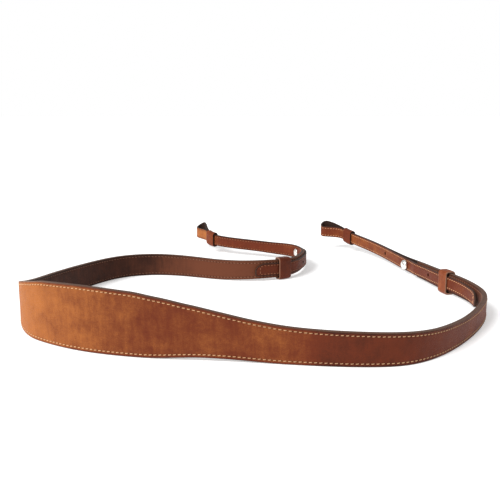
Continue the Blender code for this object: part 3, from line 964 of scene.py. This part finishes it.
def relief_group():
    """Height of fine pebbled grain, pores and creases, in metres."""

    def write(nodes, given):
        place = given["Place"]
        warp = nodes.add("ShaderNodeTexNoise", {"Vector": place, "Scale": 260.0, "Detail": 2.0}).outputs[1]
        warp = nodes.stretch(warp, GRAIN_WARP, GRAIN_WARP)
        bent = nodes.add("ShaderNodeVectorMath", {0: place, 1: warp}, operation="ADD").outputs[0]
        cells = {"Vector": bent, "Scale": given["Cells"]}
        cells = nodes.add("ShaderNodeTexVoronoi", cells, feature="DISTANCE_TO_EDGE").outputs[0]
        pebble = nodes.math("MULTIPLY", nodes.ramp(cells, 0.0, 0.16), PEBBLE_HEIGHT)
        crease = nodes.math("MULTIPLY", nodes.noise(place, 1.0, 4.0, 0.6, 420.0, 60.0), CREASE_HEIGHT)
        crease = nodes.math("MULTIPLY", crease, given["Creases"])
        pore = nodes.math("MULTIPLY", nodes.noise(place, 2600.0, 2.0), PORE_HEIGHT)
        total = nodes.math("ADD", nodes.math("ADD", pebble, pore), crease)
        return {"Height": nodes.math("MULTIPLY", total, given["Depth"])}

    return group(
        "leather_relief",
        (("Place", VECTOR, None), ("Cells", FLOAT, 1300.0), ("Creases", FLOAT, 1.0), ("Depth", FLOAT, 1.0)),
        (("Height", FLOAT),),
        write,
    )


def edge_group():
    """The painted cut edge: a mask that wanders a little, and where the paint has rubbed through."""

    def write(nodes, given):
        wander = nodes.math("SUBTRACT", nodes.noise(given["Place"], 520.0, 3.0, 0.6), 0.5)
        shifted = nodes.math("ADD", given["Paint"], nodes.math("MULTIPLY", wander, 0.5))
        shade = nodes.ramp(nodes.noise(given["Place"], 160.0, 4.0, 0.65), 0.35, 0.75)
        rubbed = nodes.mix(0.35, given["Paint Color"], given["Leather"])
        return {
            "Mask": nodes.ramp(shifted, 0.42, 0.62),
            "Color": nodes.mix(shade, given["Paint Color"], rubbed),
        }

    return group(
        "painted_edge",
        (
            ("Place", VECTOR, None),
            ("Paint", FLOAT, 0.0),
            ("Paint Color", COLOUR, None),
            ("Leather", COLOUR, None),
        ),
        (("Mask", FLOAT), ("Color", COLOUR)),
        write,
    )


def rgba(value):
    return (*value, 1.0)


def begin(name):
    """A new material, its nodes and its shader."""
    made = bpy.data.materials.new(name)
    made.use_nodes = True
    return made, Nodes(made.node_tree), made.node_tree.nodes["Principled BSDF"]


# Shares of the light tone that the pulled-up stitch line gains, and that the rim by the edge loses as painted
# shade
LINE_LIGHTER = 0.12
RIM_PAINTED_SHADE = 0.22
# How dark the painted shade in the needle holes is
PIT_PAINTED_SHADE = 0.85
# Shares of the light tone between which the edge's paint turns to its painted highlight, lighter where the
# leather is lit
EDGE_HIGHLIGHT_FROM = 0.45
EDGE_HIGHLIGHT_TO = 0.75
LEATHER_GLOSS = 0.12
LEATHER_SHEEN = 0.10
SHEEN_SPREAD = 0.35
LIGHT_ROUGHER = 0.14


def leather(name, tones, shades, amounts, roughness, paints, depth=1.0, shift=0.0, back=None):
    """A leather with mottling, grain, needle holes and painted edges.

    shades run from light to dark, amounts are those of clouds, creases and specks, paints are the
    edge's own colour and its painted highlight, and back is the rough side's colour where it shows, darkened
    as painted shade.
    """
    made, nodes, shader = begin(name)
    light, middle, dark = (rgba(shade) for shade in shades)
    place = nodes.attribute("leather")
    edge = nodes.split(nodes.attribute("edge"))
    pits = nodes.split(nodes.attribute("pits"))
    base = along_ramp(nodes, place, tones, shift)
    base = nodes.math("ADD", base, nodes.math("MULTIPLY", pits[1], LINE_LIGHTER))
    # Painted shade on the rim between the stitch line and the edge, which catches the light
    rim = nodes.ramp(edge[1], 0.15, 0.06)
    base = nodes.math("SUBTRACT", base, nodes.math("MULTIPLY", rim, RIM_PAINTED_SHADE))
    mottle = nodes.use(mottle_group(), {
        "Place": place, "Tone": base, "Clouds": amounts[0], "Creases": amounts[1], "Specks": amounts[2],
        "Light": light, "Middle": middle, "Dark": dark,
    })
    # The edge paint lightens as a painted highlight where the leather's tone is high, as where it is lit
    wear_and_highlight = nodes.ramp(base, EDGE_HIGHLIGHT_FROM, EDGE_HIGHLIGHT_TO)
    paint = nodes.use(edge_group(), {
        "Place": place, "Paint": edge[0], "Leather": dark,
        "Paint Color": nodes.mix(wear_and_highlight, rgba(paints[0]), rgba(paints[1])),
    })
    relief = nodes.use(relief_group(), {"Place": place, "Depth": depth})
    # Painted shade in the needle holes
    pit_shade = nodes.math("MULTIPLY", pits[0], PIT_PAINTED_SHADE)
    skin = nodes.mix(pit_shade, mottle["Color"], rgba(dimmed(shades[2], 0.35)))
    # The back side takes the dark rough-side colour: partly its own colour, partly painted shade inside the
    # folds and keepers
    if back:
        behind = nodes.split(nodes.attribute("side"))[0]
        fuzz = nodes.noise(place, 900.0, 4.0, 0.7)
        skin = nodes.mix(behind, skin, nodes.mix(fuzz, rgba(dimmed(back, 0.6)), rgba(dimmed(back, 1.4))))
    skin = nodes.mix(paint["Mask"], skin, paint["Color"])
    nodes.feed(shader.inputs["Base Color"], skin)
    nodes.feed(shader.inputs["Roughness"], nodes.scaled(mottle["Tone"], LIGHT_ROUGHER, roughness))
    bare = nodes.math("SUBTRACT", 1.0, nodes.math("MULTIPLY", paint["Mask"], 0.7))
    nodes.bump(shader, nodes.math("MULTIPLY", relief["Height"], bare))
    shader.inputs["Specular IOR Level"].default_value = LEATHER_GLOSS
    shader.inputs["Sheen Weight"].default_value = LEATHER_SHEEN
    shader.inputs["Sheen Roughness"].default_value = SHEEN_SPREAD
    return made


def dimmed(shade, share):
    return tuple(channel * share for channel in shade)


def along_ramp(nodes, place, tones, shift):
    """The light tone's share along the strap."""
    along = nodes.math("SUBTRACT", nodes.split(place)[0], shift)
    made = nodes.add("ShaderNodeValToRGB", {"Fac": nodes.math("DIVIDE", along, tones[-1][0])})
    ramp = made.color_ramp
    for k, (at, tone) in enumerate(tones):
        stop = ramp.elements[k] if k < 2 else ramp.elements.new(1.0)
        stop.position = at / tones[-1][0]
        stop.color = (tone, tone, tone, 1.0)
    return made.outputs[0]


def grain_leather(colours):
    shades = (colours.tan, colours.russet, colours.cocoa)
    paints = (colours.paint, colours.lit_edge_paint)
    return leather("waxed_grain", BAND_TONES, shades, (0.62, 0.20, 0.26), 0.55, paints)


def end_leather(colours, end, shift):
    tones = LEFT_TONES if end.from_start else RIGHT_TONES
    shades = (colours.tan, colours.russet, colours.cocoa)
    paints = (colours.end_paint, colours.end_paint)
    name = f"waxed_grain_{end.name}"
    return leather(name, tones, shades, (0.62, 0.18, 0.30), 0.52, paints, shift=shift, back=colours.shaded_flesh)


def lining_leather(colours):
    shades = (colours.lining, colours.lining, colours.lining_shade)
    paints = (colours.paint, colours.paint)
    return leather("lining_smooth", LINING_TONES, shades, (0.35, 0.20, 0.12), 0.55, paints, 0.6)


def keeper_leather(colours, tone, at_tip):
    shades = (colours.keeper, colours.russet, colours.cocoa)
    tones = ((0.0, tone), (1.0, tone))
    name = f"keeper_smooth_{round(tone * 100)}_{'tip' if at_tip else 'eye'}"
    # The tip keepers' edges take a painted highlight, and the eye keepers' edges a painted shade of their
    # shadowed openings
    rim = colours.lit_keeper_edge if at_tip else colours.lining_shade
    return leather(name, tones, shades, (0.45, 0.12, 0.30), 0.45, (rim, rim), 0.8, back=colours.lining_shade)


def thread_look(name, shade, shade_span=None):
    """Waxed thread with its twist. The optional span holds the two places across the loop between which the
    thread darkens as painted shade.
    """
    made, nodes, shader = begin(name)
    parts = nodes.split(nodes.attribute("leather"))
    turn = nodes.math("ADD", nodes.math("MULTIPLY", parts[0], 5.0), parts[1])
    ply = nodes.math("ABSOLUTE", nodes.math("SINE", nodes.math("MULTIPLY", turn, math.tau)))
    spot = nodes.add("ShaderNodeTexCoord").outputs["Object"]
    wear_and_highlight = nodes.noise(spot, 420.0, 3.0)
    # The twist's grooves are darkened as painted shade
    dim = nodes.math("MULTIPLY", nodes.scaled(wear_and_highlight, 0.5, 0.62), nodes.scaled(ply, 0.25, 0.80), clamp=True)
    # Painted shade over part of the loop
    if shade_span:
        darker = nodes.math("MULTIPLY", nodes.ramp(nodes.split(spot)[0], *shade_span), 0.42)
        dim = nodes.math("SUBTRACT", dim, darker, clamp=True)
    nodes.feed(shader.inputs["Base Color"], nodes.mix(dim, rgba(dimmed(shade, 0.35)), rgba(shade)))
    nodes.feed(shader.inputs["Roughness"], nodes.math("SUBTRACT", 0.75, nodes.math("MULTIPLY", wear_and_highlight, 0.2)))
    nodes.bump(shader, nodes.math("MULTIPLY", ply, PLY_HEIGHT))
    return made


def nickel_look(colours):
    """Polished nickel with handling marks."""
    made, nodes, shader = begin("polished_nickel")
    place = nodes.add("ShaderNodeTexCoord").outputs["Object"]
    rub = nodes.noise(place, 900.0, 4.0, 0.7)
    line = nodes.noise(nodes.stretch(place, 1.0, 1.0, 9.0), 700.0, 3.0, 0.7)
    nodes.feed(shader.inputs["Roughness"], nodes.ramp(rub, -0.6, 2.6))
    shade = nodes.mix(nodes.ramp(line, 0.3, 0.9), rgba(colours.nickel), rgba(dimmed(colours.nickel, 0.85)))
    nodes.feed(shader.inputs["Base Color"], shade)
    shader.inputs["Metallic"].default_value = 1.0
    nodes.bump(shader, nodes.math("MULTIPLY", line, RUB_HEIGHT))
    return made


# The run of the loop whose outer skin can reach furthest, from each end, and how finely it is read
SKIN_FROM = 0.25
SKIN_STEPS = 2000
EYE_STEPS = 60


def settle(made, slot, *nodes):
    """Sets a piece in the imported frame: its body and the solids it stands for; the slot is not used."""
    shift = frame_shift()
    made.location.x += shift[0]
    made.location.y += shift[1]
    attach(made, "root")
    if nodes:
        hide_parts(*nodes)


def frame_shift():
    """From the route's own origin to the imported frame's, which is the middle of the box."""
    between = np.linspace(SKIN_FROM, LINE.length - SKIN_FROM, SKIN_STEPS)
    skin = LINE.place(between, FACE_OFFSET + FACE_THICK / 2.0)
    angle = np.linspace(0.0, math.pi, EYE_STEPS)
    folds = [eye_fold(end, angle, EYE_RADIUS + END_THICK / 2.0) for end in ENDS]
    every = np.concatenate((skin, *folds))
    own = (every.min(axis=0) + every.max(axis=0)) / 2.0
    low, high = CAD_BOX
    return (low.x + high.x) / 2.0 - own[0], (low.y + high.y) / 2.0 - own[1]


# How far face and lining are thickened into the seam between them, and their corners there
SEAM_GROWTH = 0.12 * MM
SEAM_ROUNDING = 0.12 * MM


class NECKSTRAP_OT_band(Operator):
    """Build the grain leather and the lining of the pad and arms, with their stitches"""

    bl_idname = "neckstrap.band"
    bl_label = "Pad and Arms"

    def execute(self, context):
        sizes = context.scene.strap_sizes
        colours = context.scene.strap_colours
        left, right = ENDS
        face = band_strip(
            sizes, left.along(left.joint) + CLEAR / 2.0, right.along(right.joint) - CLEAR / 2.0,
            FACE_OFFSET - SEAM_GROWTH / 2.0, FACE_THICK + SEAM_GROWTH, 1.0,
        )
        back = band_strip(
            sizes, left.along(left.lining_end), right.along(right.lining_end),
            LINING_OFFSET + SEAM_GROWTH / 2.0, LINING_THICK + SEAM_GROWTH, -1.0,
        )
        # The top thread darkens as painted shade towards the right-hand run, the lining's thread towards the
        # left arm
        top = thread_look("top_thread", colours.thread, (-0.13, 0.06))
        bobbin = thread_look("lining_thread", colours.bobbin, (-0.02, -0.10))
        for strip, name, look, slot, node in (
            (face, "band_grain", grain_leather(colours), "grain_leather", "band_face"),
            (back, "band_back", lining_leather(colours), "lining_leather", "band_lining"),
        ):
            made = strip_object(strip, sizes, name, look, sizes.rounding, SEAM_ROUNDING, False)
            settle(made, slot, node)
        for strip, name, look, slot in (
            (face, "band_stitches", top, "grain_leather"),
            (back, "lining_stitches", bobbin, "lining_leather"),
        ):
            made = thread_object(name, edge_stitches(strip, sizes, MM, strip.length - MM), look)
            settle(made, slot)
        return {"FINISHED"}


HOLE_STEPS = 28


def punch(made, end):
    """Cuts the stud's screw hole and the punched holes through a finished strip."""
    cuts = [(end.along(end.stud), 0.0, 1.0, float(end.middle(end.stud)), SHANK_RADIUS + CLEAR)]
    for away in end.holes:
        start = float(end.inner_offset(np.array(away))) + END_THICK / 2.0 + CLEAR / 2.0
        height = float(end.inner_middle(np.array(away)))
        cuts.append((end.along(away), start, -1.0, height, NECK_RADIUS + CLEAR))
    deep = END_THICK + 2.0 * CLEAR + HEAD_THICK
    tools = []
    for along, start, way, height, radius in cuts:
        x, y = LINE.place(along, start + way * deep / 2.0)
        bpy.ops.mesh.primitive_cylinder_add(
            vertices=HOLE_STEPS, radius=radius, depth=deep, location=(x, y, height),
        )
        tool = bpy.context.active_object
        out = LINE.outward(along)
        tool.rotation_euler = (0.0, math.pi / 2.0, math.atan2(out[1], out[0]))
        tool.data.materials.append(made.data.materials[0])
        cut = made.modifiers.new("hole", "BOOLEAN")
        cut.operation = "DIFFERENCE"
        cut.object = tool
        tools.append(tool)
    apply_modifiers(made)
    for tool in tools:
        bpy.data.objects.remove(tool)


def apply_modifiers(made):
    graph = bpy.context.evaluated_depsgraph_get()
    old = made.data
    new = bpy.data.meshes.new_from_object(made.evaluated_get(graph), depsgraph=graph)
    made.modifiers.clear()
    made.data = new
    new.name = old.name
    bpy.data.meshes.remove(old)


class NECKSTRAP_OT_ends(Operator):
    """Build the two end straps with their folds, punched holes, tips and stitches"""

    bl_idname = "neckstrap.ends"
    bl_label = "End Straps"

    def execute(self, context):
        sizes = context.scene.strap_sizes
        colours = context.scene.strap_colours
        # The eye's inner stitches take the shaded back colour as painted shade
        bobbin = thread_look("bobbin_thread", colours.shaded_flesh)
        for end in ENDS:
            shade = colours.left_thread if end.from_start else colours.right_thread
            thread = thread_look(f"thread_{end.name}", shade)
            strip = end_strip(end, sizes)
            look = end_leather(colours, end, float(strip.along[0]))
            rounding = sizes.end_rounding
            made = strip_object(strip, sizes, f"end_leather_{end.name}", look, rounding, rounding, True)
            punch(made, end)
            settle(made, "grain_leather", f"end_strap_{end.name}")
            last = strip.length - 2.0 * MM
            groups = edge_stitches(strip, sizes, MM, last)
            groups += tip_stitches(strip, sizes, hole_places(sizes, MM, last)[-1])
            made = thread_object(f"end_stitches_{end.name}", groups, thread)
            settle(made, "grain_leather")
            fold = end.joint - EYE_RADIUS + math.pi * EYE_RADIUS / 2.0
            groups = edge_stitches(strip, sizes, fold - EYE_LENGTH, fold + EYE_LENGTH, -1)
            made = thread_object(f"eye_stitches_{end.name}", groups, bobbin)
            settle(made, "grain_leather")
        return {"FINISHED"}


# Points round each of a keeper's edges, along the width of its wall, round a bend and along a side
EDGE_POINTS = 5
WALL_POINTS = 8
BEND_POINTS = 10
SIDE_POINTS = 8
KEEPER_ROUNDING = 0.42 * MM
KEEPER_CROWN = 0.10 * MM
# How strongly a keeper's cut edges are painted
EDGE_PAINT = 1.3


def keeper_path(half_out, half_up):
    """Points and outward directions round a keeper's inside, in (out, up)."""
    flat = np.array((half_out, half_up)) - KEEPER_CORNER
    signs = np.array(((1, 1), (-1, 1), (-1, -1), (1, -1)))
    shares = (np.arange(1, SIDE_POINTS) / SIDE_POINTS)[:, None]
    places, ways = [], []
    for side in range(4):
        angles = (side + np.linspace(0.0, 1.0, BEND_POINTS)) * math.pi / 2.0
        way = np.stack((np.cos(angles), np.sin(angles)), axis=-1)
        arc = signs[side] * flat + KEEPER_CORNER * way
        after = signs[(side + 1) % 4] * flat + KEEPER_CORNER * way[-1]
        places += [arc, arc[-1] + (after - arc[-1]) * shares]
        ways += [way, way[-1] + 0.0 * shares]
    return np.concatenate(places), np.concatenate(ways)


def keeper_profile():
    """Round a keeper's wall: (place along the strap, height over the inside, paint)."""
    radius = KEEPER_ROUNDING
    low, high = radius - KEEPER_LENGTH / 2.0, KEEPER_LENGTH / 2.0 - radius
    top = KEEPER_WALL - radius
    rows = []
    for a, h, start in ((high, top, 90.0), (high, radius, 0.0), (low, radius, -90.0), (low, top, -180.0)):
        for k in range(EDGE_POINTS):
            angle = math.radians(start - 90.0 * k / (EDGE_POINTS - 1))
            ahead = math.cos(angle)
            rows.append((a + radius * ahead, h + radius * math.sin(angle), abs(ahead) * EDGE_PAINT))
    for k in range(1, WALL_POINTS):
        share = k / WALL_POINTS
        rows.append((low + (high - low) * share, KEEPER_WALL, 0.0))
    return np.array(rows)


def keeper_object(name, end, away, look):
    """A keeper bent round the layers it holds."""
    on_joint = away > end.stud
    outer = FACE_OFFSET + FACE_THICK / 2.0
    inner = END_ON_LINING - END_THICK / 2.0 if on_joint else -END_OUT - END_THICK / 2.0
    half_out = (outer - inner) / 2.0 + KEEPER_PLAY
    centre = (outer + inner) / 2.0
    points, marks, paints, insides = [], [], [], []
    for a, h, paint in keeper_profile():
        along = end.along(away + a)
        wide = float(band_width(along)) if on_joint else END_WIDTH
        places, ways = keeper_path(half_out, wide / 2.0 + KEEPER_PLAY)
        crown = KEEPER_CROWN * math.cos(math.pi * a / KEEPER_LENGTH)
        spot = places + ways * (h + crown * (h > KEEPER_WALL / 2.0))
        xy = LINE.place(along + np.zeros(len(spot)), centre + spot[:, 0])
        height = float(band_middle(along)) if on_joint else float(end.middle(away + a))
        points.append(np.concatenate((xy, (height + spot[:, 1])[:, None]), axis=1))
        run = np.concatenate(([0.0], np.cumsum(np.linalg.norm(np.diff(places, axis=0), axis=1))))
        marks.append(np.stack((run * 0.4 + a + away, run), axis=-1))
        paints.append(np.stack((paint + 0.0 * run, 0.5 + 0.0 * run), axis=-1))
        # The keeper's inside rows take the dark back colour: its rough side, darkened as painted shade
        insides.append(np.full((len(run), 2), float(h < KEEPER_WALL * 0.2)))
    points = np.array(points)
    rows, around = points.shape[:2]
    made = mesh_object(name, points, ring_faces(rows, around, wrap_rows=True), look, 50.0)
    outwards(made)
    corner_map(made.data, "leather", np.array(marks))
    corner_map(made.data, "edge", np.array(paints))
    corner_map(made.data, "side", np.array(insides))
    return made


class NECKSTRAP_OT_keepers(Operator):
    """Build the four leather keepers"""

    bl_idname = "neckstrap.keepers"
    bl_label = "Keepers"

    def execute(self, context):
        colours = context.scene.strap_colours
        for end in ENDS:
            for place, away in (("eye", EYE_KEEPER), ("tip", end.joint)):
                look = keeper_leather(colours, KEEPER_TONES[end.name, place], place == "tip")
                made = keeper_object(f"loop_{place}_{end.name}", end, away, look)
                settle(made, "keeper_leather", f"keeper_{place}_{end.name}")
        return {"FINISHED"}


TURN_STEPS = 48


def turned(name, profile, end, look):
    """A turned piece on a stud's axis, from (radius, distance outwards) points."""
    along = end.along(end.stud)
    x, y = LINE.place(along)
    out = LINE.outward(along)
    turn = np.arange(TURN_STEPS) * math.tau / TURN_STEPS
    rings = []
    height = float(end.middle(end.stud))
    for radius, far in profile[1:-1]:
        side = radius * np.cos(turn)
        ring_x = x + out[0] * far - out[1] * side
        ring_y = y + out[1] * far + out[0] * side
        rings.append(np.stack((ring_x, ring_y, height + radius * np.sin(turn)), axis=-1))
    rings = np.array(rings)
    made = mesh_object(name, rings, closed_faces(len(rings), TURN_STEPS), look, 35.0)
    outwards(made)
    return made


HEAD_EDGE = HEAD_THICK * 0.3
SOCKET_LIP = 0.1 * MM


def head_profile(seat, top):
    """A screw from its socket over its rounded edge to the end of its shank."""
    floor, lip = top - SOCKET_DEPTH, SOCKET_RADIUS + SOCKET_LIP
    rows = [(0.0, floor), (SOCKET_RADIUS, floor), (SOCKET_RADIUS, top - SOCKET_LIP), (lip, top)]
    rows.append((HEAD_RADIUS * 0.6, top))
    for degrees in (90.0, 67.5, 45.0, 22.5, 0.0):
        angle = math.radians(degrees)
        out, up = math.cos(angle) - 1.0, math.sin(angle) - 1.0
        rows.append((HEAD_RADIUS + HEAD_EDGE * out, top + HEAD_EDGE * up))
    return rows + [(HEAD_RADIUS, seat), (SHANK_RADIUS, seat), (SHANK_RADIUS, -seat), (0.0, -seat)]


class NECKSTRAP_OT_studs(Operator):
    """Build each stud's socket screw and knob"""

    bl_idname = "neckstrap.studs"
    bl_label = "Studs"

    def execute(self, context):
        look = nickel_look(context.scene.strap_colours)
        seat = END_OUT + END_THICK / 2.0 + CLEAR
        head = head_profile(seat, seat + HEAD_THICK)
        knob = [(0.0, -CLEAR / 2.0), (NECK_RADIUS * 0.9, -CLEAR / 2.0), (NECK_RADIUS, -CLEAR)]
        knob.append((NECK_RADIUS, -seat))
        knob += [(KNOB_RADIUS * wide, -seat - KNOB_HEIGHT * deep) for wide, deep in KNOB_SHAPE[1:]]
        for end in ENDS:
            made = turned(f"stud_head_{end.name}", head, end, look)
            settle(made, "stud_metal", f"stud_screw_{end.name}")
            made = turned(f"stud_button_{end.name}", knob, end, look)
            settle(made, "stud_metal", f"stud_knob_{end.name}")
        return {"FINISHED"}


class NECKSTRAP_OT_stage(Operator):
    """Set up the floor, the light and the camera"""

    bl_idname = "neckstrap.stage"
    bl_label = "Stage"

    def execute(self, context):
        scene, studio = context.scene, context.scene.strap_studio
        bpy.ops.mesh.primitive_plane_add(size=40.0, location=(0.0, 0.0, -0.0002))
        floor = bpy.context.active_object
        floor.name = "floor"
        look, nodes, shader = begin("pale_floor")
        place = nodes.add("ShaderNodeTexCoord").outputs["Object"]
        tint = nodes.ramp(nodes.noise(place, 3.0, 2.0), 0.2, 0.8)
        pale = rgba(studio.floor)
        nodes.feed(shader.inputs["Base Color"], nodes.mix(tint, pale, rgba(dimmed(studio.floor, 0.985))))
        shader.inputs["Roughness"].default_value = 0.9
        shader.inputs["Specular IOR Level"].default_value = 0.1
        shader.inputs["Emission Color"].default_value = pale
        shader.inputs["Emission Strength"].default_value = 0.35
        floor.data.materials.append(look)
        sun = bpy.data.lights.new("key", "SUN")
        sun.energy = studio.sun
        sun.angle = math.radians(28.0)
        key = bpy.data.objects.new("key", sun)
        key.rotation_euler = Vector((0.80, 0.62, -0.85)).to_track_quat("-Z", "Y").to_euler()
        scene.collection.objects.link(key)
        self.sky(scene, studio)
        lens = bpy.data.cameras.new("camera")
        lens.lens = studio.focal
        lens.sensor_width = 36.0
        lens.clip_start = 0.01
        camera = bpy.data.objects.new("camera", lens)
        camera.location = (studio.eye_side, -studio.eye_back, studio.eye_height)
        camera.rotation_euler = (math.pi / 2.0 - studio.pitch, 0.0, 0.0)
        scene.collection.objects.link(camera)
        scene.camera = camera
        scene.view_settings.view_transform = "Standard"
        return {"FINISHED"}

    def sky(self, scene, studio):
        """Soft light from all round, seen as plain white."""
        world = bpy.data.worlds.new("studio")
        world.use_nodes = True
        scene.world = world
        nodes = Nodes(world.node_tree)
        background = world.node_tree.nodes["Background"]
        background.inputs["Color"].default_value = (1.0, 1.0, 1.0, 1.0)
        seen = nodes.add("ShaderNodeLightPath").outputs["Is Camera Ray"]
        strength = nodes.math("MAXIMUM", seen, studio.sky)
        nodes.feed(background.inputs["Strength"], strength)


PIECES = (NECKSTRAP_OT_band, NECKSTRAP_OT_ends, NECKSTRAP_OT_keepers, NECKSTRAP_OT_studs, NECKSTRAP_OT_stage)


class NECKSTRAP_PT_panel(Panel):
    """Lists the strap's pieces and settings"""

    bl_idname = "NECKSTRAP_PT_panel"
    bl_label = "Neck Strap"
    bl_space_type = "VIEW_3D"
    bl_region_type = "UI"
    bl_category = "Neck Strap"

    def draw(self, context):
        for piece in PIECES:
            self.layout.operator(piece.bl_idname)
        for settings in (context.scene.strap_sizes, context.scene.strap_colours, context.scene.strap_studio):
            box = self.layout.box()
            for name in settings.__annotations__:
                box.prop(settings, name)


CLASSES = (StrapSizes, StrapColours, StudioSettings, *PIECES, NECKSTRAP_PT_panel)
SETTINGS = (("strap_sizes", StrapSizes), ("strap_colours", StrapColours), ("strap_studio", StudioSettings))


def register():
    for kind in CLASSES:
        bpy.utils.register_class(kind)
    for name, kind in SETTINGS:
        setattr(bpy.types.Scene, name, PointerProperty(type=kind))


def unregister():
    for name, _ in SETTINGS:
        delattr(bpy.types.Scene, name)
    for kind in reversed(CLASSES):
        bpy.utils.unregister_class(kind)


def main():
    register()
    bpy.ops.neckstrap.band()
    bpy.ops.neckstrap.ends()
    bpy.ops.neckstrap.keepers()
    bpy.ops.neckstrap.studs()
    bpy.ops.neckstrap.stage()


if __name__ == "__main__":
    main()
